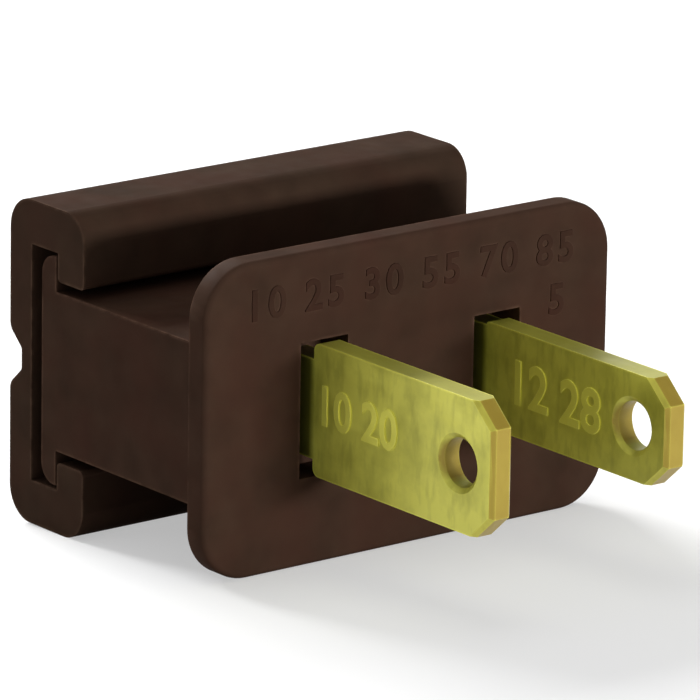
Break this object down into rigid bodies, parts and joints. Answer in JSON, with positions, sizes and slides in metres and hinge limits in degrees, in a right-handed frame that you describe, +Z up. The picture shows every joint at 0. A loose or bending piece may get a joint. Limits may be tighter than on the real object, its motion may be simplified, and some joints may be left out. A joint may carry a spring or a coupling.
{
  "type": "slide-on plug",
  "caption": "Flat two-blade plug with a wide and a narrow blade, whose prongs pierce a flat two-conductor cord held by a cover that slides onto rails along its rear.",
  "frame": {"origin": "centre of the flange's front face, midway between the blades", "axes": "-Y along the blades into the socket, +Y to the cover, +Z up with the plug on its long side, X along the cover's slide, with the wide blade at -X"},
  "size_m": [0.0296, 0.0354, 0.0196],
  "materials": {
    "body_plastic": "satin moulded dark brown",
    "cover_plastic": "satin moulded dark brown",
    "blade_brass": "stamped, satin"
  },
  "bodies": {
    "plug": {"plug_body": "body_plastic", "wide_blade": "blade_brass", "narrow_blade": "blade_brass"},
    "cover": {"sliding_cover": "cover_plastic"}
  },
  "joints": [
    {"name": "cover_slide", "type": "slide", "parent": "plug", "child": "cover", "axis": [-1, 0, 0], "range_m": [0, 0.0283]}
  ]
}
